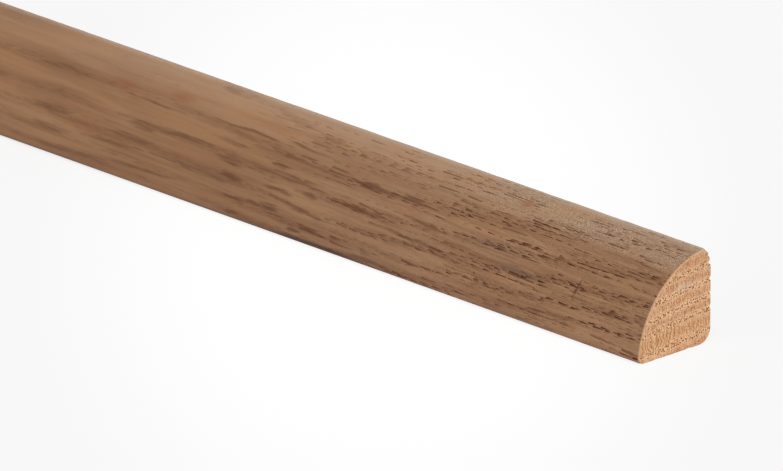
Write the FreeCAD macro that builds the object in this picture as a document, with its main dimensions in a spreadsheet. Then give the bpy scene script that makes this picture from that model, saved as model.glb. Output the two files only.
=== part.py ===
# Quarter round moulding: one length of solid red oak, milled to a quarter round section.
# Millimetres, +Z up. The strip lies along X on its base, at z = 0, as it lies on a floor.
# Its back faces the wall, in +Y, and its round face looks out to -Y and up.
# The origin is the middle of the base, halfway along the strip. Both ends are sawn square.

import FreeCAD, Part
import math
import os

import Sketcher
from FreeCAD import Vector

doc = FreeCAD.newDocument("QuarterRoundMoulding")

# Driving dimensions: the name of each, its value in mm and what it is on the moulding.
sheet = doc.addObject("Spreadsheet::Sheet", "Dimensions")
DIMENSIONS = [
    ("strip_length", 2438.4, "stock length, 8 ft"),
    ("leg_width", 19.05, "base, from the toe to the back, 3/4 in"),
    ("leg_height", 19.05, "back, from the base to the crown, 3/4 in"),
    ("face_radius", 20.0, "the round face"),
    ("toe_radius", 1.0, "eased corner where the face comes down to the floor"),
    ("crown_radius", 2.0, "eased corner where the face comes back to the wall"),
    ("heel_radius", 3.0, "eased corner that keeps clear of the joint of wall and floor"),
]
for row, (name, value, meaning) in enumerate(DIMENSIONS, start=1):
    sheet.set(f"A{row}", name)
    sheet.set(f"B{row}", str(value))
    sheet.set(f"C{row}", meaning)
    sheet.setAlias(f"B{row}", name)
doc.recompute()

# How a sketch names the two ends of a line or arc, the centre of an arc, its horizontal axis
# and its own origin.
START, END, CENTRE = 1, 2, 3
HORIZONTAL_AXIS = -1
SKETCH_ORIGIN = (-1, 1)


def round_face(toe_centre, toe_radius, crown_centre, crown_radius, face_radius):
    """The centre of the round face, which runs tangent around the toe and the crown."""
    reach_toe = face_radius - toe_radius
    reach_crown = face_radius - crown_radius
    line = crown_centre - toe_centre
    along = (reach_toe**2 - reach_crown**2 + line.Length**2) / (2 * line.Length)
    across = math.sqrt(reach_toe**2 - along**2)
    line.normalize()
    towards_heel = Vector(line.y, -line.x, 0)
    return toe_centre + line * along + towards_heel * across


def direction(centre, point):
    """The angle at which point is seen from centre, from 0 to a full turn."""
    return math.atan2(point.y - centre.y, point.x - centre.x) % (2 * math.pi)


def add_line(sketch, start, end):
    return sketch.addGeometry(Part.LineSegment(start, end), False)


def add_arc(sketch, centre, radius, start_angle, end_angle):
    circle = Part.Circle(centre, Vector(0, 0, 1), radius)
    return sketch.addGeometry(Part.ArcOfCircle(circle, start_angle, end_angle), False)


def add_dimension(sketch, name, constraint, formula):
    """Dimensions the sketch by a formula of the driving dimensions."""
    sketch.renameConstraint(sketch.addConstraint(constraint), name)
    sketch.setExpression(f"Constraints.{name}", formula)


def draw_section(sketch):
    """The section as the cutters leave it: six lines and arcs, each tangent to the next."""
    back_y = sheet.leg_width / 2
    heel_centre = Vector(back_y - sheet.heel_radius, sheet.heel_radius, 0)
    crown_centre = Vector(back_y - sheet.crown_radius, sheet.leg_height - sheet.crown_radius, 0)
    toe_centre = Vector(sheet.toe_radius - back_y, sheet.toe_radius, 0)
    face_centre = round_face(
        toe_centre, sheet.toe_radius, crown_centre, sheet.crown_radius, sheet.face_radius
    )
    crown_turn = direction(face_centre, crown_centre)
    toe_turn = direction(face_centre, toe_centre)
    quarter = math.pi / 2

    # Counter-clockwise from the toe, as seen from the +X end
    base = add_line(sketch, Vector(toe_centre.x, 0, 0), Vector(heel_centre.x, 0, 0))
    heel = add_arc(sketch, heel_centre, sheet.heel_radius, 3 * quarter, 4 * quarter)
    back = add_line(sketch, Vector(back_y, heel_centre.y, 0), Vector(back_y, crown_centre.y, 0))
    crown = add_arc(sketch, crown_centre, sheet.crown_radius, 0, crown_turn)
    face = add_arc(sketch, face_centre, sheet.face_radius, crown_turn, toe_turn)
    toe = add_arc(sketch, toe_centre, sheet.toe_radius, toe_turn, 3 * quarter)

    outline = [base, heel, back, crown, face, toe]
    for piece, following in zip(outline, outline[1:] + outline[:1]):
        sketch.addConstraint(Sketcher.Constraint("Tangent", piece, END, following, START))
    sketch.addConstraint(Sketcher.Constraint("Horizontal", base))
    sketch.addConstraint(Sketcher.Constraint("Vertical", back))
    sketch.addConstraint(Sketcher.Constraint("PointOnObject", base, START, HORIZONTAL_AXIS))

    for name, arc in [("Heel", heel), ("Crown", crown), ("Face", face), ("Toe", toe)]:
        alias = f"{name.lower()}_radius"
        radius = Sketcher.Constraint("Radius", arc, sheet.get(alias))
        add_dimension(sketch, f"{name}Radius", radius, f"<<{sheet.Label}>>.{alias}")
    add_dimension(
        sketch,
        "BackPlace",
        Sketcher.Constraint("DistanceX", *SKETCH_ORIGIN, back, START, back_y),
        f"<<{sheet.Label}>>.leg_width / 2",
    )
    add_dimension(
        sketch,
        "ToeCentreToBack",
        Sketcher.Constraint("DistanceX", toe, CENTRE, back, START, back_y - toe_centre.x),
        f"<<{sheet.Label}>>.leg_width - <<{sheet.Label}>>.toe_radius",
    )
    add_dimension(
        sketch,
        "BaseToCrownCentre",
        Sketcher.Constraint("DistanceY", base, START, crown, CENTRE, crown_centre.y),
        f"<<{sheet.Label}>>.leg_height - <<{sheet.Label}>>.crown_radius",
    )


def make_moulding():
    """The strip: its section, padded along X to both sides of the middle."""
    body = doc.addObject("PartDesign::Body", "QuarterRound")
    body.Label = "quarter_round"
    section_plane = next(item for item in body.Origin.OriginFeatures if item.Role == "YZ_Plane")

    section = body.newObject("Sketcher::SketchObject", "MouldingSection")
    section.AttachmentSupport = [(section_plane, "")]
    section.MapMode = "FlatFace"
    draw_section(section)
    doc.recompute()
    if not section.FullyConstrained:
        raise RuntimeError("the section is not fully constrained")

    strip = body.newObject("PartDesign::Pad", "MilledStrip")
    strip.Profile = section
    strip.SideType = "Symmetric"
    strip.setExpression("Length", f"<<{sheet.Label}>>.strip_length")
    body.Tip = strip
    doc.recompute()
    return body


def check_model(body):
    for item in doc.Objects:
        if "Invalid" in item.State or "Error" in item.State:
            raise RuntimeError(f"{item.Label} failed to build: {item.State}")
    if body.Shape.isNull() or not body.Shape.isValid() or len(body.Shape.Solids) != 1:
        raise RuntimeError(f"{body.Label} is not one valid solid")


moulding = make_moulding()
check_model(moulding)

os.makedirs("parts", exist_ok=True)
moulding.Shape.exportStep(f"parts/{moulding.Label}.step")

box = moulding.Shape.BoundBox
print(f"{moulding.Label}: {box.XLength:.2f} x {box.YLength:.2f} x {box.ZLength:.2f} mm")
print(f"y from {box.YMin:.3f} to {box.YMax:.3f}, z from {box.ZMin:.3f} to {box.ZMax:.3f}")
print(f"volume {moulding.Shape.Volume:.1f} mm3, {len(moulding.Shape.Faces)} faces")
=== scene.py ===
import math
import random
from functools import partial

import bpy
import numpy as np
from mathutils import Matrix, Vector, noise
from mathutils.geometry import delaunay_2d_cdt


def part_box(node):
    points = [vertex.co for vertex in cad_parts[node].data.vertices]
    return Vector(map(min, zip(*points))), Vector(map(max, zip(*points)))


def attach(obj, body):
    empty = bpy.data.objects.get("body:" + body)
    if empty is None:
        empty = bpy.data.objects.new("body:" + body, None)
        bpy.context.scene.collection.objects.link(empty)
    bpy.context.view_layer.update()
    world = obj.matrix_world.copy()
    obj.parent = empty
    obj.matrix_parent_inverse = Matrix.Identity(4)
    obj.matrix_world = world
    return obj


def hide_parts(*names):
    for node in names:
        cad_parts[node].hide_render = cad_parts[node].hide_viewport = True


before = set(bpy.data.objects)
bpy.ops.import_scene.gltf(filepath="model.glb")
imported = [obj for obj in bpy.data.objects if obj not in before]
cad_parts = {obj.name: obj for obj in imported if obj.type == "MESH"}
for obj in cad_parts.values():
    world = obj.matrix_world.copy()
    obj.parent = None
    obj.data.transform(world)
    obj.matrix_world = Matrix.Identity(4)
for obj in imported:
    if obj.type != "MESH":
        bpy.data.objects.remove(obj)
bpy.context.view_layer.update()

mm = 0.001

low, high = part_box("quarter_round")
stripLength = high.x - low.x
sawnX = high.x          # the sawn end that the camera sees
middleY = (low.y + high.y) / 2
legWidth = high.y - low.y
legHeight = high.z - low.z


# The strip's shape: the section that part.py mills, with the wear and the torn edges of the real one

stripShape = {
    "faceRadius": 20.0 * mm,
    "toeRadius": 1.0 * mm,
    "crownRadius": 2.0 * mm,
    "heelRadius": 3.0 * mm,
    "faceSpacing": 0.45 * mm,      # between the mesh's columns, round the section
    "easeSpacing": 0.35 * mm,
    "heelSpacing": 0.56 * mm,
    "backSpacing": 0.25 * mm,
    "plainSpacing": 0.95 * mm,
    "plainBack": 5.5 * mm,         # height under which the back has no torn spots
    "zones": [(45 * mm, 0.36 * mm), (190 * mm, 1.2 * mm), (700 * mm, 5 * mm)],   # reach and spacing
    "middleSpacing": 14 * mm,
    "farReach": 15 * mm,
    "farSpacing": 1.0 * mm,
    "arris": 0.07 * mm,
    "sawnSpacing": 0.33 * mm,
    "farSawnSpacing": 0.7 * mm,
    "rowStep": 0.87,               # the sawn ends' net: rows, stray and clear border, in spacings
    "netStray": 0.12,
    "netBorder": 0.6,
    "sharpAngle": 38.0,            # degrees
}

# Relief, in mm: knife waves and loose fibres on the planed sides, saw marks and torn fibres on the ends
relief = {
    "waves": 0.012,
    "waveSize": (60, 9, 9),
    "crownFrom": 16.2,             # height where the loose fibres begin, and how far up they grow
    "crownRise": 2.2,
    "fibres": 0.03,
    "fibreRange": 0.20,
    "coarseFibres": (0.5, 3.6, 2.0),     # weight, length and height
    "fineFibres": (0.3, 1.1, 1.0),
    "farFibres": 0.35,             # what is left of them away from the sawn end, and how soon
    "fadeLength": 50,
    "sawArcs": 0.014,
    "arcSpacing": 1.9,
    "arcCentre": (-60, -95),
    "sawRough": 0.020,
    "roughSize": 1.3,
    "sawRidges": 0.028,
    "ridgeSize": (0.5, 3.0),
}

# Torn spots in the edge of the sawn end, in mm: y, z, their reach in z and along the strip, their depth
tornWidth = 0.8
tornInEnd = 0.4          # the share of their depth that the sawn face has
tornSpots = [
    (9.52, 17.30, 1.10, 1.6, 0.36),
    (9.30, 18.10, 0.90, 1.5, 0.36),
    (8.40, 18.90, 0.90, 1.3, 0.42),
    (9.52, 16.00, 0.42, 1.0, 0.62),
    (9.52, 12.80, 0.36, 0.8, 0.42),
    (9.52, 9.90, 0.32, 0.6, 0.24),
    (9.52, 7.20, 0.32, 0.6, 0.22),
    (6.90, 18.90, 0.70, 1.2, 0.14),
    (-9.35, 0.30, 0.60, 0.9, 0.26),
    (3.80, 0.00, 0.40, 0.8, 0.12),
    (-4.60, 0.00, 0.40, 0.6, 0.10),
]


def sectionColumns():
    # y, z, the outward normal and the distance round, counter-clockwise from the toe, seen from +X
    shape = stripShape
    ease = shape["easeSpacing"]
    toe = Vector((low.y + shape["toeRadius"], shape["toeRadius"]))
    heel = Vector((high.y - shape["heelRadius"], shape["heelRadius"]))
    crown = Vector((high.y - shape["crownRadius"], legHeight - shape["crownRadius"]))
    toeReach = shape["faceRadius"] - shape["toeRadius"]
    crownReach = shape["faceRadius"] - shape["crownRadius"]
    line = crown - toe
    along = (toeReach ** 2 - crownReach ** 2 + line.length_squared) / (2 * line.length)
    across = math.sqrt(toeReach ** 2 - along ** 2)
    line.normalize()
    face = toe + line * along + Vector((line.y, -line.x)) * across
    crownTurn = math.atan2(crown.y - face.y, crown.x - face.x)
    toeTurn = math.atan2(toe.y - face.y, toe.x - face.x) % math.tau
    quarter = math.pi / 2
    columns = []
    girth = 0.0

    def flat(start, end, normal, spacing):
        nonlocal girth
        length = (end - start).length
        steps = max(1, round(length / spacing))
        for i in range(steps):
            at = start.lerp(end, i / steps)
            columns.append((at.x, at.y, *normal, girth + length * i / steps))
        girth += length

    def eased(centre, radius, start, end, spacing):
        nonlocal girth
        length = radius * (end - start)
        steps = max(2, round(length / spacing))
        for i in range(steps):
            turn = start + (end - start) * i / steps
            normal = Vector((math.cos(turn), math.sin(turn)))
            columns.append((*(centre + normal * radius), *normal, girth + length * i / steps))
        girth += length

    tornFrom = Vector((high.y, shape["plainBack"]))
    flat(Vector((toe.x, 0)), Vector((heel.x, 0)), (0, -1), shape["plainSpacing"])
    eased(heel, shape["heelRadius"], -quarter, 0, shape["heelSpacing"])
    flat(Vector((high.y, heel.y)), tornFrom, (1, 0), shape["plainSpacing"])
    flat(tornFrom, Vector((high.y, crown.y)), (1, 0), shape["backSpacing"])
    eased(crown, shape["crownRadius"], 0, crownTurn, ease)
    eased(face, shape["faceRadius"], crownTurn, toeTurn, shape["faceSpacing"])
    eased(toe, shape["toeRadius"], toeTurn, 3 * quarter, ease)
    return columns, girth


def stationPlaces():
    # distances from the sawn end, close together where the camera sees them
    shape = stripShape
    places = []
    at = shape["arris"]
    for reach, spacing in shape["zones"] + [(stripLength - shape["farReach"], shape["middleSpacing"])]:
        steps = round((reach - at) / spacing)
        places += [at + (reach - at) * i / steps for i in range(steps)]
        at = reach
    last = stripLength - shape["arris"]
    steps = round((last - at) / shape["farSpacing"])
    return places + [at + (last - at) * i / steps for i in range(steps + 1)]


def planedWear(fromEnd, y, z, normalZ):
    # how far the planed surface lies under the true section: knife marks, handling and loose fibres
    x, yMm, zMm = fromEnd / mm, y / mm, z / mm
    length, width, height = relief["waveSize"]
    depth = relief["waves"] * (noise.noise((x / length, yMm / width, zMm / height)) + 1)
    crown = max(0.0, min(1.0, (zMm - relief["crownFrom"]) / relief["crownRise"])) * max(0.0, normalZ)
    coarse, coarseLength, coarseHeight = relief["coarseFibres"]
    fine, fineLength, fineHeight = relief["fineFibres"]
    frayed = coarse * noise.noise((x / coarseLength, 7.1, zMm / coarseHeight))
    frayed += fine * noise.noise((x / fineLength, 3.3, zMm / fineHeight))
    far = relief["farFibres"]
    near = far + (1 - far) * math.exp(-x / relief["fadeLength"])
    depth += crown * max(0.0, relief["fibres"] + relief["fibreRange"] * frayed) * near
    return depth * mm


def tornDepth(x, y, z):
    depth = 0.0
    for spotY, spotZ, reach, run, deep in tornSpots:
        offset = ((y / mm - spotY) / tornWidth) ** 2 + ((z / mm - spotZ) / reach) ** 2
        offset += ((sawnX - x) / mm / run) ** 2
        if offset < 1:
            depth += deep * (1 - offset) * mm
    return depth


def sawnRelief(y, z, side):
    # how far a point of a sawn end lies inside its plane: the saw's arcs and its torn fibres
    yMm, zMm = y / mm, z / mm
    centreY, centreZ = relief["arcCentre"]
    arcs = 0.5 + 0.5 * math.sin(math.hypot(yMm - centreY, zMm - centreZ) * math.tau / relief["arcSpacing"])
    grain = relief["roughSize"]
    rough = noise.noise((yMm / grain, zMm / grain, 5.0 + side)) + 1
    width, height = relief["ridgeSize"]
    ridges = noise.noise((yMm / width, zMm / height, 2.0 + side)) + 1
    return (relief["sawArcs"] * arcs + relief["sawRough"] * rough + relief["sawRidges"] * ridges) * mm


def gridInside(outline, spacing):
    # a grid of points inside an outline and clear of it, with every other row shifted
    corners = np.array([(point.x, point.y) for point in outline])
    after = np.roll(corners, -1, 0)
    sides = after - corners
    lengths = (sides ** 2).sum(1)
    rise = np.where(sides[:, 1] == 0, 1e-12, sides[:, 1])
    lowest, highest = corners.min(0), corners.max(0)
    draw = random.Random(11)
    rowStep, stray, border = (stripShape[name] for name in ("rowStep", "netStray", "netBorder"))
    points = []
    for row in range(int((highest[1] - lowest[1]) / (spacing * rowStep)) + 1):
        for step in range(int((highest[0] - lowest[0]) / spacing) + 1):
            y = lowest[0] + spacing * (step + 0.5 * (row % 2) + draw.uniform(-stray, stray))
            z = lowest[1] + spacing * (rowStep * row + 0.5 + draw.uniform(-stray, stray))
            at = np.array((y, z))
            share = np.clip(((at - corners) * sides).sum(1) / lengths, 0, 1)
            gap = np.hypot(*(at - corners - sides * share[:, None]).T).min()
            spans = (corners[:, 1] > z) != (after[:, 1] > z)
            crossings = spans & (corners[:, 0] + (z - corners[:, 1]) * sides[:, 0] / rise > y)
            if gap > spacing * border and crossings.sum() % 2:
                points.append(Vector(at))
    return points


# The map for baked colours: the strip lies in it as one finely drawn length and three coarser ones

mapPlan = {
    "pixels": 1024,
    "margin": 6,
    "nearReach": 190 * mm,
    "nearAlong": 3.55,       # pixels per mm along the strip
    "nearShare": 1.38,       # height of the first length, against the others
    "farLengths": 3,
    "sawnScale": 11.0,       # pixels per mm on the sawn ends
    "farSawnScale": 5.0,
}


def mapLayout(girth):
    plan = mapPlan
    pixels, margin, nearReach = plan["pixels"], plan["margin"], plan["nearReach"]
    farHeight = (pixels - margin) / (plan["farLengths"] + plan["nearShare"])
    nearHeight = farHeight * plan["nearShare"]
    farLength = (stripLength - nearReach) / plan["farLengths"]
    lengths = []
    for i in range(plan["farLengths"] + 1):
        height = farHeight if i else nearHeight
        lengths.append({
            "start": nearReach + farLength * (i - 1) if i else 0.0,
            "end": nearReach + farLength * i + 0.1 * mm,
            "left": margin / pixels,
            "bottom": (margin + (nearHeight + farHeight * (i - 1) if i else 0)) / pixels,
            "along": ((pixels - 3 * margin) / farLength if i else plan["nearAlong"] / mm) / pixels,
            "round": (height - margin) / pixels / girth,
        })
    right = 3 * margin + nearReach / mm * plan["nearAlong"]
    besides = right + plan["sawnScale"] * legWidth / mm + margin
    ends = [(right / pixels, plan["sawnScale"] / mm / pixels),
            (besides / pixels, plan["farSawnScale"] / mm / pixels)]
    return lengths, ends


def buildStripMesh():
    columns, girth = sectionColumns()
    places = stationPlaces()
    count = len(columns)
    lengths, ends = mapLayout(girth)
    bottom = mapPlan["margin"] / mapPlan["pixels"]
    verts, faces, finishes, mapped = [], [], [], []

    # rings round the strip, from one sawn end to the other; the outer two make the eased arris
    arris = stripShape["arris"]
    rings = [(0.0, arris)] + [(place, 0.0) for place in places] + [(stripLength, arris)]
    for fromEnd, inset in rings:
        x = sawnX - fromEnd
        for y, z, normalY, normalZ, _ in columns:
            depth = inset + planedWear(fromEnd, y, z, normalZ) + tornDepth(x, y, z)
            verts.append((x, y - normalY * depth, z - normalZ * depth))

    for ring in range(len(rings) - 1):
        near, far = rings[ring][0], rings[ring + 1][0]
        part = next(item for item in lengths if (near + far) / 2 < item["end"])
        for column in range(count):
            after = (column + 1) % count
            a, b = ring * count, (ring + 1) * count
            faces.append((a + column, b + column, b + after, a + after))
            finishes.append(0)
            start, end = columns[column][4], columns[after][4] if after else girth
            for place, around in ((near, start), (far, start), (far, end), (near, end)):
                mapped.append((part["left"] + (place - part["start"]) * part["along"],
                               part["bottom"] + around * part["round"]))

    # the sawn ends: a fine net of triangles inside the outline
    for side, first, spacing in ((1, 0, stripShape["sawnSpacing"]),
                                 (-1, (len(rings) - 1) * count, stripShape["farSawnSpacing"])):
        outline = [Vector(verts[first + i][1:]) for i in range(count)]
        border = [(i, (i + 1) % count) for i in range(count)]
        points, _, triangles, origins, _, _ = delaunay_2d_cdt(
            outline + gridInside(outline, spacing), border, [], 1, 1e-7)
        left, scale = ends[0 if side > 0 else 1]
        index = []
        for point, origin in zip(points, origins):
            if origin and origin[0] < count:
                index.append(first + origin[0])
                continue
            index.append(len(verts))
            x = sawnX if side > 0 else low.x
            inside = sawnRelief(point.x, point.y, side) + tornInEnd * tornDepth(x, point.x, point.y)
            verts.append((x - side * inside, point.x, point.y))
        for triangle in triangles:
            order = triangle[::side]
            faces.append([index[i] for i in order])
            finishes.append(1)
            mapped += [(left + (points[i].x - low.y) * scale, bottom + points[i].y * scale) for i in order]
    return verts, faces, finishes, mapped


# Node trees: a few short words for the nodes that the wood is made of

def feed(tree, socket, value):
    if isinstance(value, bpy.types.NodeSocket):
        tree.links.new(value, socket)
    else:
        socket.default_value = value


def addNode(tree, kind, inputs, **settings):
    node = tree.nodes.new(kind)
    for name, value in settings.items():
        setattr(node, name, value)
    for name, value in inputs.items():
        feed(tree, node.inputs[name], value)
    return node


def calc(tree, operation, *values):
    return addNode(tree, "ShaderNodeMath", dict(enumerate(values)), operation=operation).outputs[0]


def times(tree, *values):
    product = values[0]
    for value in values[1:]:
        product = calc(tree, "MULTIPLY", product, value)
    return product


def vectorCalc(tree, operation, *values):
    return addNode(tree, "ShaderNodeVectorMath", dict(enumerate(values)), operation=operation).outputs[0]


def joinXyz(tree, x, y, z):
    return addNode(tree, "ShaderNodeCombineXYZ", {"X": x, "Y": y, "Z": z}).outputs[0]


def grainNoise(tree, vector, size, offset=0.0, detail=2.0, rough=0.5):
    # noise whose grains are about size mm long, wide and high
    finer = tuple(1 / side for side in size)
    at = vectorCalc(tree, "MULTIPLY_ADD", vector, finer, (offset, offset * 2, offset * 3))
    inputs = {"Vector": at, "Scale": 1.0, "Detail": detail, "Roughness": rough}
    return addNode(tree, "ShaderNodeTexNoise", inputs).outputs[0]


def remap(tree, value, fromLow, fromHigh, toLow=0.0, toHigh=1.0, kind="SMOOTHSTEP"):
    inputs = {"Value": value, "From Min": fromLow, "From Max": fromHigh,
              "To Min": toLow, "To Max": toHigh}
    return addNode(tree, "ShaderNodeMapRange", inputs, interpolation_type=kind).outputs[0]


def curveThrough(tree, value, points, handles):
    # the curve through these points, flat beyond the first and the last
    lowX, highX = points[0][0], points[-1][0]
    lowest, highest = min(point[1] for point in points), max(point[1] for point in points)
    node = addNode(tree, "ShaderNodeFloatCurve", {"Value": remap(tree, value, lowX, highX, kind="LINEAR")})
    curve = node.mapping.curves[0].points
    for i, (x, y) in enumerate(points):
        at = ((x - lowX) / (highX - lowX), (y - lowest) / (highest - lowest))
        if i in (0, len(points) - 1):
            curve[0 if i == 0 else len(curve) - 1].location = at
        else:
            curve.new(*at)
    for point in curve:
        point.handle_type = handles
    node.mapping.update()
    return calc(tree, "MULTIPLY_ADD", node.outputs[0], highest - lowest, lowest)


def blend(tree, amount, first, second):
    return addNode(tree, "ShaderNodeMix", {0: amount, 6: first, 7: second}, data_type="RGBA").outputs[2]


def lengthOf(tree, vector):
    return addNode(tree, "ShaderNodeVectorMath", {0: vector}, operation="LENGTH").outputs["Value"]


def spot(tree, place, centre, size):
    # 1 at the centre, 0 from size mm away
    reach = vectorCalc(tree, "DIVIDE", vectorCalc(tree, "SUBTRACT", place, centre), size)
    return remap(tree, lengthOf(tree, reach), 1.0, 0.25)


def paint(red, green, blue):
    # a colour as a screen shows it, 0 to 255, in the linear values that shaders take
    def linear(level):
        level /= 255
        return level / 12.92 if level <= 0.04045 else ((level + 0.055) / 1.055) ** 2.4
    return (linear(red), linear(green), linear(blue), 1.0)


# Red oak: growth rings, vessels and rays as one solid texture, so that planed and sawn faces agree

oakGrain = {
    "ringHeights": [-12.6, -9.1, -5.4, -1.9, 1.9, 6.1, 8.6, 11.7, 15.0, 18.5, 21.6, 25.4, 28.8, 32.3],
    "ringTilt": 0.095,         # rise of the rings from the toe to the heel
    # how the rings rise and fall along the strip: mm from the sawn end, mm up
    "ringPath": [(-420, -1.0), (-300, -3.4), (-220, -2.2), (-180, -2.5), (-160, -2.8), (-140, -3.0),
                 (-120, -3.4), (-100, -4.1), (-80, -4.5), (-60, -3.8), (-45, -3.0), (-30, -2.0),
                 (-15, -1.0), (0, 0)],
    "driftHeight": 26.0,       # and further along the rest of the strip
    "driftLength": 340.0,
    "driftFade": (-420.0, -120.0),
    "fibreFall": 0.03,         # the fibres run out of the strip, falling towards the sawn end
    "wobble": (24.0, 5.0, 5.0),     # slow waves, in mm, and how far they move the fibres and the rings
    "wobbleFibres": 1.2,
    "wobbleRings": 1.1,
    "ripple": (7.0, 2.2, 2.2),      # and quick ones
    "rippleRings": 0.45,
    "rippleMarks": 0.7,
}

# Vessels in mm: their gap, the length of an opening, its width in gaps, and how much stays closed
vesselLooks = {
    "pores": {"gap": 0.34, "opening": 3.4, "width": 0.48, "closed": 0.10, "seed": 0.0},
    "ticks": {"gap": 0.30, "opening": 2.6, "width": 0.46, "closed": 0.15, "seed": 5.1},
    "lines": {"gap": 0.66, "opening": 8.5, "width": 0.36, "closed": 0.20, "seed": 31.3},
    "sawnPores": {"gap": 0.48, "width": 0.50, "seed": 11.7},
    "wander": 1.4,                # how far they stray sideways, and in waves of what size
    "wanderSize": (22.0, 3.0, 3.0),
    "widths": (0.5, 0.6),         # how they differ in width, and the least
    "lengths": (0.5, 0.5),        # and in length
    "taper": (0.06, 0.95, 1.25, 0.40),
    "head": (0.0, 0.07),
    "tail": (1.0, 0.9),
    "beadSize": (0.30, 0.9, 0.9),
    "beads": (0.35, 0.62, 0.55, 1.15),
    "edge": (-0.05, 0.45),
    "stain": (-1.3, 0.2),
}

# Marks on the planed face, in mm: x, z, half their length and height, and how they slope
marks = {
    "soft": [(-166, 8.8, 8, 0.8, 0), (-164, 5.4, 7, 0.8, 0), (-167, 15.2, 8, 0.5, 0),
             (-157, 2.3, 12, 0.7, 0.03), (-142, 8.5, 11, 0.5, 0), (-142, 14.8, 11, 0.3, -0.01),
             (-132, 11.5, 15, 0.5, 0), (-141, 10.7, 5, 0.7, -0.02), (-147, 6.5, 10, 0.6, 0.04),
             (-124, 7.0, 15, 0.8, -0.01), (-138, 3.6, 12, 0.5, 0.03),
             (-117, 13.2, 7, 0.35, -0.02), (-114, 15.4, 13, 0.25, -0.01),
             (-98, 15.7, 9, 0.2, -0.03), (-98, 13.8, 9, 0.3, -0.03), (-101, 10.9, 13, 0.5, -0.03),
             (-95, 6.5, 9, 0.5, -0.09), (-62, 11.1, 7, 0.5, -0.03), (-62, 7.9, 12, 0.5, -0.05),
             (-74, 1.4, 12, 0.5, 0)],
    "dark": [(-115.5, 10.3, 4.5, 0.6, -0.05), (-114, 7.9, 4, 0.7, 0), (-103, 12.2, 3, 0.6, 0),
             (-102.5, 4.9, 3.5, 0.8, 0), (-110, 4.5, 9, 0.5, 0.03), (-112, 1.6, 2.5, 0.5, 0),
             (-101, 8.4, 5, 0.5, -0.02), (-93, 9.3, 2.5, 0.6, -0.03), (-95, 2.2, 2.6, 0.6, 0),
             (-90, 3.3, 5, 0.5, -0.06), (-78, 13.8, 9, 0.42, -0.02), (-79, 9.8, 8, 0.45, -0.01),
             (-68, 13.9, 4, 0.65, 0)],
    "toeShadow": [(-89, 0.4, 15, 1.2, 0)],
    "dashEdge": (1.05, 0.40),      # where a mark begins and where it is full, in shares of its half size
    "stains": [((-35.0, -7.1, 8.8), (9.0, 3.0, 1.4)), ((-42.0, -5.2, 11.3), (14.0, 3.4, 2.3))],
    "redSpots": [((-151.0, -0.6, 15.7), (5.5, 2.4, 1.0)), ((-135.5, 0.4, 16.5), (4.5, 2.4, 1.1)),
                 ((-43.5, 3.4, 18.0), (2.8, 2.4, 0.7))],
    "clusters": [(-9.5, 7.6, 3.5, 0.8, 0), (-10.8, 13.8, 5, 0.8, 0.03), (-24.5, 6.1, 3, 0.6, 0),
                 (-51, 11.4, 5, 0.7, 0), (-47.5, 7.9, 6, 0.6, 0), (-28, 12.8, 5, 0.7, 0),
                 (-55, 15.2, 10, 0.5, 0), (-33, 16.9, 9, 0.5, 0.02), (-15, 17.7, 7, 0.4, 0),
                 (-5, 12.9, 4.5, 0.6, 0), (-36, 13.1, 6, 0.7, -0.02)],
    "scratchEnds": ((-19.2, -5.3, 11.7), (-20.0, -7.8, 7.65)),
    "scratchWidth": 0.22,
    "scratchFacing": (0, -0.8, 0.6),     # the way out of the face there
    "scratchFade": 1.25,
    "knots": [((-9.0, -7.6, 8.0), (1.1, 1.0, 0.42)), ((-27.4, -8.4, 5.9), (0.7, 1.0, 0.30)),
              ((-46.0, -8.3, 6.2), (0.6, 1.0, 0.26))],
}


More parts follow.
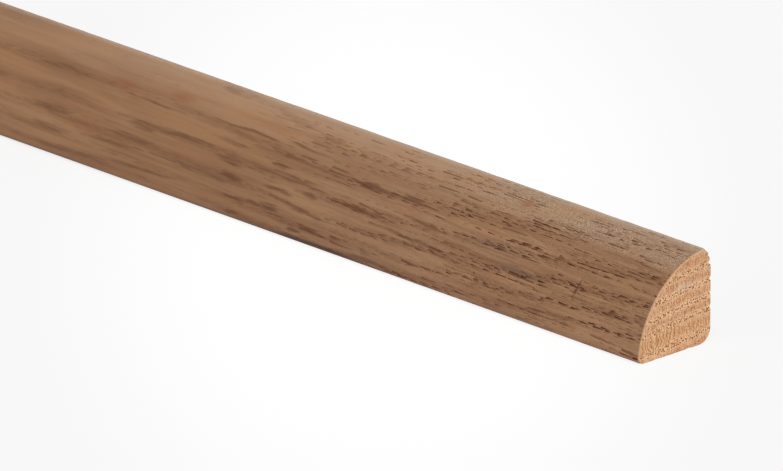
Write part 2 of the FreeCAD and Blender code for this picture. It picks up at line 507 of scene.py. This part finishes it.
def grainFields(tree):
    # everything in millimetres, with x counted from the sawn end
    grain = oakGrain
    place = addNode(tree, "ShaderNodeTexCoord", {}).outputs["Object"]
    origin = (-sawnX / mm, -middleY / mm, -low.z / mm)
    place = vectorCalc(tree, "MULTIPLY_ADD", place, (1 / mm,) * 3, origin)
    parts = addNode(tree, "ShaderNodeSeparateXYZ", {"Vector": place}).outputs
    x, y, z = parts[0], parts[1], parts[2]

    drift = grainNoise(tree, joinXyz(tree, x, 0.0, 0.0), (grain["driftLength"],) * 3, 3.7, detail=1.0)
    drift = times(tree, calc(tree, "SUBTRACT", drift, 0.5), grain["driftHeight"])
    drift = times(tree, drift, remap(tree, x, *grain["driftFade"], 1.0, 0.0))
    wobble = calc(tree, "SUBTRACT", grainNoise(tree, place, grain["wobble"]), 0.5)
    ripple = calc(tree, "SUBTRACT", grainNoise(tree, place, grain["ripple"], 4.0), 0.5)
    fibres = calc(tree, "MULTIPLY_ADD", x, grain["fibreFall"], z)
    fibres = calc(tree, "MULTIPLY_ADD", wobble, grain["wobbleFibres"], fibres)
    height = calc(tree, "MULTIPLY_ADD", y, -grain["ringTilt"], z)
    height = calc(tree, "SUBTRACT", height, curveThrough(tree, x, grain["ringPath"], "AUTO"))
    height = calc(tree, "SUBTRACT", height, drift)
    height = calc(tree, "MULTIPLY_ADD", wobble, grain["wobbleRings"], height)
    height = calc(tree, "MULTIPLY_ADD", ripple, grain["rippleRings"], height)

    # count the rings by a curve that steps up by one at each of their heights
    steps = [(ring, i) for i, ring in enumerate(grain["ringHeights"])]
    rings = curveThrough(tree, height, steps, "VECTOR")
    phase = calc(tree, "FRACT", calc(tree, "ADD", rings, 0.5))
    fromRing = calc(tree, "SUBTRACT", phase, 0.5)      # -0.5 to 0.5, with the rows of pores at 0

    size, wander = vesselLooks["wanderSize"], vesselLooks["wander"]
    aside = calc(tree, "SUBTRACT", grainNoise(tree, place, size, 6.0, detail=1.0), 0.5)
    rise = calc(tree, "SUBTRACT", grainNoise(tree, place, size, 8.0, detail=1.0), 0.5)
    return {
        "place": place, "x": x, "y": y, "z": z,
        "nearRing": calc(tree, "ABSOLUTE", fromRing),
        "plane": joinXyz(tree, x, calc(tree, "MULTIPLY_ADD", ripple, grain["rippleMarks"], z), 0.0),
        "ringwise": joinXyz(tree, x, y, height),
        "along": joinXyz(tree, x, y, fibres),
        "across": joinXyz(tree, calc(tree, "MULTIPLY_ADD", aside, wander, y),
                          calc(tree, "MULTIPLY_ADD", rise, wander, fibres), 0.0),
    }


def vessels(tree, fields, name, share, broken=True):
    # fine tubes along the grain, each open at the surface only here and there; and the stain round them
    common, look = vesselLooks, vesselLooks[name]
    at = vectorCalc(tree, "MULTIPLY_ADD", fields["across"], (1 / look["gap"],) * 3, (look["seed"],) * 3)
    cells = addNode(tree, "ShaderNodeTexVoronoi", {"Vector": at, "Scale": 1.0, "Randomness": 1.0},
                    voronoi_dimensions="2D")
    luck = addNode(tree, "ShaderNodeSeparateColor", {"Color": cells.outputs["Color"]}).outputs
    spread, least = (part * look["width"] for part in common["widths"])
    radius = calc(tree, "MULTIPLY_ADD", luck[1], spread, least)
    if broken:                 # each opening starts wide and dark, and tapers off along the grain
        run = calc(tree, "MULTIPLY_ADD", fields["x"], 1 / look["opening"], times(tree, luck[0], 97.0))
        at = joinXyz(tree, calc(tree, "FLOOR", run), times(tree, luck[1], 90.0), 0.0)
        draw = addNode(tree, "ShaderNodeTexWhiteNoise", {"Vector": at}, noise_dimensions="2D")
        draw = addNode(tree, "ShaderNodeSeparateColor", {"Color": draw.outputs["Color"]}).outputs
        reach = calc(tree, "MULTIPLY_ADD", draw[0], *common["lengths"])
        along = calc(tree, "DIVIDE", calc(tree, "FRACT", run), reach)
        taper = remap(tree, along, *common["taper"], kind="LINEAR")
        taper = times(tree, taper, remap(tree, along, *common["head"], kind="LINEAR"))
        taper = times(tree, taper, remap(tree, along, *common["tail"], kind="LINEAR"))
        taper = times(tree, taper, calc(tree, "GREATER_THAN", draw[1], look["closed"]))
        beads = grainNoise(tree, fields["across"], common["beadSize"], 21.0, detail=1.0)
        taper = times(tree, taper, remap(tree, beads, *common["beads"]))
        radius = times(tree, radius, calc(tree, "MAXIMUM", taper, 0.01))
    inside = calc(tree, "SUBTRACT", 1.0, calc(tree, "DIVIDE", cells.outputs["Distance"], radius))
    chosen = calc(tree, "LESS_THAN", luck[0], share)
    return (times(tree, remap(tree, inside, *common["edge"]), chosen),
            times(tree, remap(tree, inside, *common["stain"]), chosen))


def newMaterial(name):
    material = bpy.data.materials.new(name)
    material.use_nodes = True
    tree = material.node_tree
    return material, tree, tree.nodes["Principled BSDF"]


def dashes(tree, plane, fray, shapes):
    # soft dashes on the face: 1 along their middle, 0 from their frayed outline
    total = 0.0
    for x, z, reach, up, slope in shapes:
        at = addNode(tree, "ShaderNodeMapping", {
            "Vector": plane, "Location": (x, z, 0), "Rotation": (0, 0, slope), "Scale": (reach, up, 1)},
            vector_type="TEXTURE").outputs[0]
        distance = calc(tree, "ADD", lengthOf(tree, at), fray)
        total = calc(tree, "MAXIMUM", total, remap(tree, distance, *marks["dashEdge"]))
    return total


def anySpot(tree, place, spots):
    total = spot(tree, place, *spots[0])
    for item in spots[1:]:
        total = calc(tree, "MAXIMUM", total, spot(tree, place, *item))
    return total


def scratchMark(tree, place):
    # a fine cut across the face: close to the plane through its two ends, between their heights
    top, foot = (Vector(end) for end in marks["scratchEnds"])
    normal = (top - foot).cross(Vector(marks["scratchFacing"])).normalized()
    offset = addNode(tree, "ShaderNodeVectorMath", {0: place, 1: tuple(normal)}, operation="DOT_PRODUCT")
    offset = calc(tree, "ABSOLUTE", calc(tree, "SUBTRACT", offset.outputs["Value"], normal.dot(top)))
    line = remap(tree, offset, marks["scratchWidth"], marks["scratchWidth"] * 0.3)
    middle, half = (top + foot) / 2, (top - foot).length / 2
    return times(tree, line, spot(tree, place, tuple(middle), (half * marks["scratchFade"],) * 3))


def coat(tree, fields, coats, colour, name, *factors):
    # one more colour over the last, where its windows let it and as strong as the factors make it
    look = coats[name]
    if "levels" in look:
        factors = (remap(tree, factors[0], *look["levels"]), *factors[1:])
    windows = [remap(tree, fields[axis], *window) for axis in "xyz" for window in look.get(axis, [])]
    strength = [look["strength"]] if "strength" in look else []
    return blend(tree, times(tree, *factors, *windows, *strength), colour, paint(*look["paint"]))


# The planed faces. Windows are in mm, x from the sawn end and z up: from where to where, and from what to
# what. Shares are a factor and what is added.
planedLooks = {
    # how fine it is drawn: most near the sawn end, and again past the part that the photo has out of focus
    "crisp": [(-122, -36, 0.12, 1), (-190, -260, 0.12, 0.9)],
    "clear": [(-126, -72, 0, 1), (-190, -260, 0, 0.9)],
    "streaks": (0.86, 0.14),
    "fine": (1.14, -0.14),
    # rows of pores along the rings, in rings from their middle, and how they fade on the crown
    "band": (0.30, 0.13),
    "bandTop": (16.2, 18.6, 1, 0.45),
    "patchy": (0.34, 0.54, 0.45, 1),
    "dense": (0.20, 0.10),
    "denseTop": (16.2, 18.9, 1, 0.35),
    "densePatch": (0.6, 0.4),
    "seam": (0.11, 0.02),
    "seamPatch": (0.47, 0.60),
    "poreShare": (0.90, 0.06),
    "tickShare": (0.42, 0.26),
    "lineShare": (0.50, 0.28),
    "smearedShare": (0.30, 0.06),
    "stainedShare": (0.46, 0.02),
    "faintTicks": {"z": (13.5, 15.5), "x": (-60, -80), "share": (-0.40, 0.70)},
    # the crown: painted sheen, greyer and paler near the sawn end where the top catches the light, and
    # grainy from its loose fibres
    "sheenTop": (15.2, 17.9),
    "sheenAlong": (-85, -14, 0.12, 1),
    "sheenPatch": (0.38, 0.60, 0.5, 1),
    "sandPatch": (0.40, 0.62, 0.55, 1),
    "sandShare": (0.70, 0.16),
    "frayAlong": (-125, -80, 1, 2),      # how ragged the marks are
    "threads": (0.36, 0.58, 0.50, 1),
    "front": (8.8, 7.6),                 # the marks end at the crown, in mm from the middle of the base
    "streaky": (0.36, 0.62, 0.25, 1),
    "knotSand": 0.9,
    "roughness": (0.22, 0.62),
    "fibreBump": 0.5,
    "lineBump": 0.5,
    "sandBump": 0.3,
    "bump": {"Strength": 0.8, "Distance": 0.08 * mm},
    "shader": {"Specular IOR Level": 0.22, "Sheen Weight": 0.04, "Sheen Roughness": 0.3},
}

# Its noises: the size of their grains along, across and up, in mm
planedGrains = {
    "fray": {"size": (3.6, 0.42, 0.36), "offset": 19.0},
    "patchy": {"size": (20.0, 2.5, 1.4), "offset": 8.0},
    "seam": {"size": (9.0, 3.0, 3.0), "offset": 13.0},
    "fibre": {"size": (5.0, 0.24, 0.24), "detail": 3.0, "rough": 0.62},
    "broad": {"size": (26.0, 1.9, 1.2), "offset": 12.0, "detail": 1.0},
    "streak": {"size": (40.0, 0.9, 0.55), "offset": 2.0, "rough": 0.6},
    "mottle": {"size": (30.0, 5.0, 3.5), "offset": 9.0},
    "warm": {"size": (16.0, 3.0, 1.3), "offset": 5.0, "detail": 3.0},
    "sand": {"size": (0.36, 0.22, 0.22), "offset": 1.0},
    "sandPatch": {"size": (11.0, 3.0, 3.0), "offset": 3.0},
    "golden": {"size": (13.0, 4.0, 3.0), "offset": 17.0},
    "sheenPatch": {"size": (20.0, 4.0, 4.0), "offset": 7.0},
    "threads": {"size": (7.0, 0.55, 0.45), "offset": 15.0},
}

# Its colours, as a screen shows them, in the order in which they lie over one another. A colour comes in
# from one level of its pattern to the next, and is full without a strength.
planedCoats = {
    "ground": {"paint": [(143, 105, 73), (131, 95, 66)], "levels": (0.38, 0.62)},
    # upper: painted highlight, the top of the planed face paler where it is lit more
    "upper": {"paint": (158, 121, 91), "strength": 0.56, "x": [(-185, -125, 0.35, 1)], "z": [(13.5, 18.4)]},
    "light": {"paint": (170, 141, 112), "strength": 0.12, "x": [(-104, -84), (-44, -62)]},
    "warm": {"paint": (144, 96, 65), "strength": 0.42, "levels": (0.50, 0.70)},
    "rows": {"paint": (114, 77, 52), "strength": 0.30},
    "broadDark": {"paint": (112, 78, 54), "strength": 0.22, "levels": (0.50, 0.68)},
    "broadPale": {"paint": (154, 118, 90), "strength": 0.26, "levels": (0.48, 0.34)},
    "streakDark": {"paint": (100, 67, 45), "strength": 0.36, "levels": (0.50, 0.66)},
    "streakPale": {"paint": (158, 121, 92), "strength": 0.30, "levels": (0.48, 0.32)},
    "fibreDark": {"paint": (92, 59, 38), "strength": 0.56, "levels": (0.52, 0.74)},
    "fibrePale": {"paint": (164, 128, 100), "strength": 0.46, "levels": (0.47, 0.28)},
    # crownHighlight: painted highlight along the crown's top edge, where it catches the light
    "crownHighlight": {"paint": (172, 139, 110), "strength": 0.50, "x": [(-190, -130)], "z": [(16.8, 18.9)]},
    "golden": {"paint": (166, 119, 78), "levels": (0.46, 0.64),
               "x": [(-130, -90, 0.12, 0.36)], "z": [(15.0, 17.6)]},
    # crownSheen: painted sheen, greyish, on the crown near the sawn end
    "crownSheen": {"paint": (150, 127, 104), "strength": 0.62},
    "sandDark": {"paint": (88, 58, 38), "levels": (0.50, 0.70)},
    "sandPale": {"paint": (194, 162, 132), "levels": (0.50, 0.32)},
    # toe: painted shade, darker along the foot of the face where it turns under
    "toe": {"paint": (86, 62, 47),
            "x": [(-160, -100, 0.35, 0.65), (-50, -76, 0.15, 1)], "z": [(1.5, 0.3)]},
    "soft": {"paint": (104, 70, 47), "strength": 0.84},
    "dark": {"paint": (86, 52, 32), "strength": 0.78},
    "toeShadow": {"paint": (60, 40, 28), "strength": 0.85},
    "worn": {"paint": (166, 126, 92), "strength": 0.32, "x": [(-34, -14)], "z": [(9.0, 3.5)]},
    "stain": {"paint": (98, 80, 68), "strength": 0.55},
    "red": {"paint": (134, 80, 50), "strength": 0.60},
    "seam": {"paint": (98, 62, 38), "strength": 0.30},
    "smeared": {"paint": (98, 66, 44)},
    "lines": {"paint": (84, 48, 24), "strength": 0.64},
    "ticks": {"paint": (84, 45, 20)},
    "stained": {"paint": (108, 62, 34)},
    "pores": {"paint": (64, 26, 6), "z": [(14.6, 17.0, 0.96, 0.66)]},
    "knots": {"paint": (70, 34, 18), "strength": 0.80, "levels": (0.80, 1.35)},
    "scratch": {"paint": (72, 46, 32), "strength": 0.76},
    # arris: a pale line along the sawn end's edge, partly torn fibres and partly a painted highlight where
    # the eased edge catches the light
    "arris": {"paint": (206, 166, 128), "strength": 0.75, "x": [(-0.50, -0.12)]},
    # fuzz and rim highlight: pale loose fibres at the crown's back edge, partly a painted highlight along
    # that edge
    "fuzzAndRimHighlight": {"paint": (187, 165, 143), "levels": (0.35, 0.60, 0.25, 0.75),
             "x": [(-60, -100, 1, 0.85)], "y": [(6.1, 7.8)], "z": [(14.5, 17.0, 0.10, 1)]},
}


def groundCoat(tree, coats, pattern):
    look = coats["ground"]
    first, second = (paint(*colour) for colour in look["paint"])
    return blend(tree, remap(tree, pattern, *look["levels"]), first, second)


def planedOak():
    material, tree, shader = newMaterial("planed_red_oak")
    fields, look = grainFields(tree), planedLooks
    place, along, ringwise, plane = (fields[name] for name in ("place", "along", "ringwise", "plane"))
    x, y, z, nearRing = (fields[name] for name in ("x", "y", "z", "nearRing"))
    lay = partial(coat, tree, fields, planedCoats)

    def grain(field, name):
        return grainNoise(tree, field, **planedGrains[name])

    def share(value, name):
        return calc(tree, "MULTIPLY_ADD", value, *look[name])

    crisp = calc(tree, "MAXIMUM", *[remap(tree, x, *window) for window in look["crisp"]])
    clear = calc(tree, "MAXIMUM", *[remap(tree, x, *window) for window in look["clear"]])

    # rows of pores, denser here and there
    band = remap(tree, nearRing, *look["band"])
    fray = calc(tree, "SUBTRACT", grain(along, "fray"), 0.5)
    fray = times(tree, fray, remap(tree, x, *look["frayAlong"]))
    cluster = dashes(tree, plane, fray, marks["clusters"])
    patchy = remap(tree, grain(ringwise, "patchy"), *look["patchy"])
    rows = times(tree, band, patchy, remap(tree, z, *look["bandTop"]))
    dense = times(tree, remap(tree, nearRing, *look["dense"]), share(patchy, "densePatch"))
    dense = times(tree, dense, remap(tree, z, *look["denseTop"]))
    poreShare = calc(tree, "MAXIMUM", share(dense, "poreShare"), cluster)
    pores, stained = vessels(tree, fields, "pores", poreShare)
    ticks, _ = vessels(tree, fields, "ticks", share(rows, "tickShare"))
    lines, smeared = vessels(tree, fields, "lines", share(rows, "lineShare"))
    seam = times(tree, remap(tree, nearRing, *look["seam"]),
                 remap(tree, grain(ringwise, "seam"), *look["seamPatch"]))

    fibre = grain(along, "fibre")
    broad = grain(along, "broad")
    streak = grain(along, "streak")
    sand = grain(place, "sand")

    colour = groundCoat(tree, planedCoats, grain(ringwise, "mottle"))
    # painted highlight: the upper part of the face paler, as if lit more from above
    colour = lay(colour, "upper")
    colour = lay(colour, "light")
    colour = lay(colour, "warm", grain(ringwise, "warm"))
    colour = lay(colour, "rows", calc(tree, "MAXIMUM", rows, cluster))
    colour = lay(colour, "broadDark", broad)
    colour = lay(colour, "broadPale", broad)
    streaks = share(crisp, "streaks")
    colour = lay(colour, "streakDark", streak, streaks)
    colour = lay(colour, "streakPale", streak, streaks)
    colour = lay(colour, "fibreDark", fibre, crisp)
    colour = lay(colour, "fibrePale", fibre, crisp)
    # painted highlight on the crown's top edge
    colour = lay(colour, "crownHighlight")
    colour = lay(colour, "golden", grain(along, "golden"))

    # painted sheen: the crown near the sawn end greyer and paler, as if catching the light
    crownSheen = times(tree, remap(tree, z, *look["sheenTop"]), remap(tree, x, *look["sheenAlong"]))
    crownSheen = times(tree, crownSheen, remap(tree, grain(along, "sheenPatch"), *look["sheenPatch"]))
    colour = lay(colour, "crownSheen", crownSheen)
    sandPatch = remap(tree, grain(along, "sandPatch"), *look["sandPatch"])
    grainy = times(tree, crisp, crisp, sandPatch, share(crownSheen, "sandShare"))
    colour = lay(colour, "sandDark", sand, grainy)
    colour = lay(colour, "sandPale", sand, grainy)

    # painted shade and a painted shadow along the toe, then dark marks, stains and small faults
    # painted shade along the toe
    colour = lay(colour, "toe")
    threads = remap(tree, grain(along, "threads"), *look["threads"])
    front = times(tree, remap(tree, y, *look["front"]), threads)
    colour = lay(colour, "soft", dashes(tree, plane, fray, marks["soft"]), front)
    colour = lay(colour, "dark", dashes(tree, plane, fray, marks["dark"]), front)
    colour = lay(colour, "toeShadow", dashes(tree, plane, 0.0, marks["toeShadow"]))
    colour = lay(colour, "worn")
    streaky = remap(tree, streak, *look["streaky"])
    colour = lay(colour, "stain", anySpot(tree, place, marks["stains"]), streaky)
    colour = lay(colour, "red", anySpot(tree, place, marks["redSpots"]), threads)

    # what the vessels leave open, finest last
    colour = lay(colour, "seam", seam)
    colour = lay(colour, "smeared", smeared, share(clear, "smearedShare"))
    fine = calc(tree, "MAXIMUM", share(crisp, "fine"), 0.0)
    colour = lay(colour, "lines", lines, clear)
    faint = look["faintTicks"]
    high = times(tree, remap(tree, z, *faint["z"]), remap(tree, x, *faint["x"]))
    colour = lay(colour, "ticks", ticks, fine, calc(tree, "MULTIPLY_ADD", high, *faint["share"]))
    colour = lay(colour, "stained", stained, share(clear, "stainedShare"))
    colour = lay(colour, "pores", pores, fine)
    knots = calc(tree, "MULTIPLY_ADD", sand, look["knotSand"], anySpot(tree, place, marks["knots"]))
    colour = lay(colour, "knots", knots)
    scratch = scratchMark(tree, place)
    colour = lay(colour, "scratch", scratch)
    # pale arris: torn fibres and a painted highlight on the eased edge
    colour = lay(colour, "arris")
    # pale loose fibres on the crown's back edge, partly painted rim highlight
    colour = lay(colour, "fuzzAndRimHighlight", sand)
    feed(tree, shader.inputs["Base Color"], colour)

    dark = calc(tree, "MAXIMUM", pores, scratch)
    dark = calc(tree, "MAXIMUM", dark, times(tree, lines, look["lineBump"]))
    feed(tree, shader.inputs["Roughness"], share(dark, "roughness"))
    height = calc(tree, "MULTIPLY_ADD", fibre, look["fibreBump"], times(tree, dark, -1.0))
    height = calc(tree, "MULTIPLY_ADD", sand, look["sandBump"], height)
    finishShader(tree, shader, height, look)
    return material


def finishShader(tree, shader, height, look):
    bump = addNode(tree, "ShaderNodeBump", {"Height": height, **look["bump"]})
    feed(tree, shader.inputs["Normal"], bump.outputs[0])
    for name, value in look["shader"].items():
        shader.inputs[name].default_value = value


# The sawn ends, with the same kinds of values
sawnLooks = {
    "band": (0.20, 0.11),
    "halo": (0.34, 0.06),
    "late": (0.20, 0.42),
    "poreShare": (0.74, 0.04),
    "tickShare": (0.25, 0.10),
    # rays stand upright through the rings, and the saw has torn them into wavy ridges near the toe
    "ridgeSpacing": 0.96,
    "ridgeBend": 2.6,
    "tornUp": [(0.6, 2.2), (6.8, 5.0)],
    "tornAcross": (3.0, -1.5, 0.25, 1),
    "strokeBend": 0.8,
    "strokeShare": (0.62, 0.26),
    "patch": ((0.0, 3.2, 12.6), (9.0, 4.0, 1.5)),      # a paler patch, a flaw and a darker toe corner
    "flaw": ((0.0, 2.7, 7.5), (9.0, 0.24, 0.75)),
    "toe": ((0.0, -9.1, 0.2), (9.0, 0.8, 0.5)),
    "roughness": (0.1, 0.78),
    "strokeBump": -0.9,
    "poreBump": -0.5,
    "ridgeBump": -0.7,
    "bump": {"Strength": 0.8, "Distance": 0.10 * mm},
    "shader": {"Specular IOR Level": 0.16},
}

sawnGrains = {
    "bend": {"size": (9.0, 2.6, 1.5), "offset": 3.0, "detail": 1.0},
    "strokes": {"size": (9.0, 0.30, 1.8), "offset": 6.0, "detail": 1.5},
    "speckle": {"size": (3.0, 0.26, 0.34), "offset": 2.0, "rough": 0.6},
    "mottle": {"size": (9.0, 3.2, 1.8), "offset": 4.0},
}

sawnCoats = {
    # ground: the end grain's colour, paler than the planed faces partly as painted light, for an end lit
    # more than the face
    "ground": {"paint": [(207, 160, 119), (187, 135, 94)], "levels": (0.0, 1.0, 0.0, 0.66, "LINEAR")},
    "mottle": {"paint": (208, 167, 132), "strength": 0.55, "levels": (0.44, 0.66)},
    "halo": {"paint": (225, 184, 145), "strength": 0.52},
    "patch": {"paint": (204, 180, 160), "strength": 0.55},
    "strokeDark": {"paint": (164, 110, 70), "levels": (0.48, 0.62)},
    "strokePale": {"paint": (230, 190, 150), "strength": 0.50, "levels": (0.46, 0.32)},
    "ridgeDark": {"paint": (166, 111, 67), "strength": 0.80},
    "ridgePale": {"paint": (230, 187, 140), "strength": 0.45},
    "speckleDark": {"paint": (150, 92, 52), "strength": 0.70, "levels": (0.52, 0.70)},
    "specklePale": {"paint": (240, 206, 170), "strength": 0.54, "levels": (0.48, 0.32)},
    "ticks": {"paint": (146, 88, 46), "strength": 0.58},
    "stained": {"paint": (242, 206, 166), "strength": 0.42},
    "upper": {"paint": (186, 138, 100), "strength": 0.22, "z": [(13.0, 18.0)]},
    "pores": {"paint": (136, 74, 14), "strength": 0.95},
    "flaw": {"paint": (104, 66, 44), "strength": 0.70},
    "toe": {"paint": (74, 50, 36)},
}


def sawnOak():
    material, tree, shader = newMaterial("sawn_red_oak")
    fields, look = grainFields(tree), sawnLooks
    place, y, z, nearRing = (fields[name] for name in ("place", "y", "z", "nearRing"))
    lay = partial(coat, tree, fields, sawnCoats)

    def share(value, name):
        return calc(tree, "MULTIPLY_ADD", value, *look[name])

    band = remap(tree, nearRing, *look["band"])
    pores, stained = vessels(tree, fields, "sawnPores", share(band, "poreShare"), broken=False)
    ticks, _ = vessels(tree, fields, "ticks", share(band, "tickShare"), broken=False)
    halo = remap(tree, nearRing, *look["halo"])
    late = remap(tree, nearRing, *look["late"])

    bend = grainNoise(tree, place, **sawnGrains["bend"])
    ridges = calc(tree, "MULTIPLY_ADD", bend, look["ridgeBend"], y)
    ridges = calc(tree, "SINE", times(tree, ridges, math.tau / look["ridgeSpacing"]))
    ridges = calc(tree, "MULTIPLY_ADD", ridges, 0.5, 0.5)
    torn = times(tree, *[remap(tree, z, *window) for window in look["tornUp"]])
    torn = times(tree, torn, remap(tree, y, *look["tornAcross"]))
    bent = joinXyz(tree, fields["x"], calc(tree, "MULTIPLY_ADD", bend, look["strokeBend"], y), z)
    strokes = grainNoise(tree, bent, **sawnGrains["strokes"])
    speckle = grainNoise(tree, place, **sawnGrains["speckle"])

    # the end grain's colour, partly painted light: paler as if lit more than the planed faces
    colour = groundCoat(tree, sawnCoats, late)
    colour = lay(colour, "mottle", grainNoise(tree, place, **sawnGrains["mottle"]))
    colour = lay(colour, "halo", halo)
    colour = lay(colour, "patch", spot(tree, place, *look["patch"]))
    colour = lay(colour, "strokeDark", strokes, share(late, "strokeShare"))
    colour = lay(colour, "strokePale", strokes)
    colour = lay(colour, "ridgeDark", ridges, torn)
    colour = lay(colour, "ridgePale", calc(tree, "SUBTRACT", 1.0, ridges), torn)
    colour = lay(colour, "speckleDark", speckle)
    colour = lay(colour, "specklePale", speckle)
    colour = lay(colour, "ticks", ticks)
    colour = lay(colour, "stained", stained)
    colour = lay(colour, "upper")
    colour = lay(colour, "pores", pores)
    colour = lay(colour, "flaw", spot(tree, place, *look["flaw"]))
    colour = lay(colour, "toe", spot(tree, place, *look["toe"]))
    feed(tree, shader.inputs["Base Color"], colour)

    feed(tree, shader.inputs["Roughness"], share(pores, "roughness"))
    height = calc(tree, "MULTIPLY_ADD", strokes, look["strokeBump"], times(tree, pores, look["poreBump"]))
    height = calc(tree, "MULTIPLY_ADD", times(tree, ridges, torn), look["ridgeBump"], height)
    finishShader(tree, shader, height, look)
    return material


def makeStrip():
    verts, faces, finishes, mapped = buildStripMesh()
    mesh = bpy.data.meshes.new("quarterRoundStrip")
    mesh.from_pydata(verts, [], faces)
    mesh.materials.append(planedOak())
    mesh.materials.append(sawnOak())
    mesh.polygons.foreach_set("material_index", finishes)
    layer = mesh.uv_layers.new(name="OFBake")
    layer.data.foreach_set("uv", np.array(mapped, dtype=np.float32).ravel())
    mesh.shade_smooth()
    mesh.set_sharp_from_angle(angle=math.radians(stripShape["sharpAngle"]))
    strip = bpy.data.objects.new("quarterRoundStrip", mesh)
    bpy.context.collection.objects.link(strip)
    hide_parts("quarter_round")
    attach(strip, "root")
    print("strip:", len(verts), "points,", sum(len(face) - 2 for face in faces), "triangles")


# Floor, light and camera

studio = {
    "floorSize": 60.0,
    "floorColour": (0.98, 0.98, 0.98, 1.0),
    "floorGlow": 0.85,           # how much of the floor the camera sees as plain white
    # the pool is a painted pool of light: the floor brightest round the strip's sawn end, greyer further
    # off
    "poolTurn": 46.07,           # the white pool on the floor, and how it lies round the strip's end
    "poolCentre": (-0.083, 0.0054),
    "poolSize": (0.0573, 0.167),
    "poolEdge": 0.925,
    "poolFade": (0.525, 1.31),   # from where to where its white fades, in shares of its size
    "floorGap": 0.02 * mm,       # under the strip's base
    "skyLight": 0.50,
    "skySeen": (0.9, 0.9, 0.9, 1.0),
    "lampDistance": 3.0,
    "lamps": [                   # degrees round from -Y towards +X, degrees up, strength, softness
        ("key", 75.0, 60.0, 1.9, 50.0),
        ("front", 20.0, 22.0, 0.86, 70.0),
    ],
}

photoCamera = {
    "width": 783,
    "height": 471,
    "azimuth": 46.07,
    "elevation": 20.03,
    "distance": 3.6,
    "pixelsPerMm": 5.272,            # at the near end's heel
    "heelPixel": (710.5, 341.2),
    "sensorWidth": 36.0,
    "clip": (0.05, 100.0),
}


def seenDirectly(tree):
    # 1 where the camera looks, straight or by way of a reflection or glass
    path = addNode(tree, "ShaderNodeLightPath", {}).outputs
    seen = calc(tree, "MAXIMUM", path["Is Camera Ray"], path["Is Glossy Ray"])
    return calc(tree, "MAXIMUM", seen, path["Is Transmission Ray"])


def towards(turn, rise):
    turn, rise = math.radians(turn), math.radians(rise)
    return Vector((math.sin(turn) * math.cos(rise), -math.cos(turn) * math.cos(rise), math.sin(rise)))


def makeFloor():
    half = studio["floorSize"] / 2
    mesh = bpy.data.meshes.new("floor")
    corners = [(-half, -half, 0), (half, -half, 0), (half, half, 0), (-half, half, 0)]
    mesh.from_pydata(corners, [], [(0, 1, 2, 3)])
    material, tree, shader = newMaterial("pale_floor")
    tree.nodes.remove(shader)
    matte = addNode(tree, "ShaderNodeBsdfDiffuse", {"Color": studio["floorColour"]})
    place = addNode(tree, "ShaderNodeTexCoord", {}).outputs["Object"]
    centre = (sawnX + studio["poolCentre"][0], studio["poolCentre"][1], 0)
    turned = addNode(tree, "ShaderNodeVectorRotate", {
        "Vector": vectorCalc(tree, "SUBTRACT", place, centre),
        "Axis": (0, 0, 1), "Angle": -math.radians(studio["poolTurn"])})
    reach = vectorCalc(tree, "DIVIDE", turned.outputs[0], (*studio["poolSize"], 1))
    # painted pool of light: the floor the camera sees is whitest round the strip's sawn end, greyer towards
    # its edge
    lightPool = remap(tree, lengthOf(tree, reach), *studio["poolFade"], 1.0, studio["poolEdge"])
    glow = addNode(tree, "ShaderNodeEmission", {
        "Color": joinXyz(tree, lightPool, lightPool, lightPool), "Strength": 1.0})
    amount = calc(tree, "MULTIPLY", seenDirectly(tree), studio["floorGlow"])
    mix = addNode(tree, "ShaderNodeMixShader", {0: amount, 1: matte.outputs[0], 2: glow.outputs[0]})
    tree.links.new(mix.outputs[0], tree.nodes["Material Output"].inputs["Surface"])
    mesh.materials.append(material)
    floor = bpy.data.objects.new("floor", mesh)
    floor.location.z = low.z - studio["floorGap"]
    bpy.context.collection.objects.link(floor)
    print("floor made")


def makeLight():
    world = bpy.data.worlds.new("studio")
    bpy.context.scene.world = world
    world.use_nodes = True
    tree = world.node_tree
    tree.nodes.clear()
    light = addNode(tree, "ShaderNodeBackground", {"Strength": studio["skyLight"]})
    seen = addNode(tree, "ShaderNodeBackground", {"Color": studio["skySeen"], "Strength": 1.0})
    mix = addNode(tree, "ShaderNodeMixShader", {
        0: seenDirectly(tree), 1: light.outputs[0], 2: seen.outputs[0]})
    addNode(tree, "ShaderNodeOutputWorld", {"Surface": mix.outputs[0]})
    for name, turn, rise, strength, softness in studio["lamps"]:
        lamp = bpy.data.lights.new(name, "SUN")
        lamp.energy = strength
        lamp.angle = math.radians(softness)
        item = bpy.data.objects.new(name, lamp)
        item.location = towards(turn, rise) * studio["lampDistance"]
        item.rotation_euler = towards(turn, rise).to_track_quat("Z", "Y").to_euler()
        bpy.context.collection.objects.link(item)
    print("lamps:", len(studio["lamps"]))


def makeCamera():
    view = photoCamera
    back = towards(view["azimuth"], view["elevation"])
    turn = math.radians(view["azimuth"])
    right = Vector((math.cos(turn), math.sin(turn), 0))
    up = back.cross(right)
    scale = view["pixelsPerMm"] / mm
    heel = Vector((sawnX, high.y, low.z))
    aside = (view["heelPixel"][0] - view["width"] / 2) / scale
    below = (view["heelPixel"][1] - view["height"] / 2) / scale
    camera = bpy.data.cameras.new("photoCamera")
    camera.sensor_width = view["sensorWidth"]
    camera.lens = scale * view["distance"] * view["sensorWidth"] / view["width"]
    camera.clip_start, camera.clip_end = view["clip"]
    item = bpy.data.objects.new("photoCamera", camera)
    item.location = heel - right * aside + up * below + back * view["distance"]
    item.rotation_euler = back.to_track_quat("Z", "Y").to_euler()
    bpy.context.collection.objects.link(item)
    bpy.context.scene.camera = item
    print("camera: lens", round(camera.lens, 1), "mm")


bpy.context.scene.view_settings.view_transform = "Standard"
makeStrip()
makeFloor()
makeLight()
makeCamera()
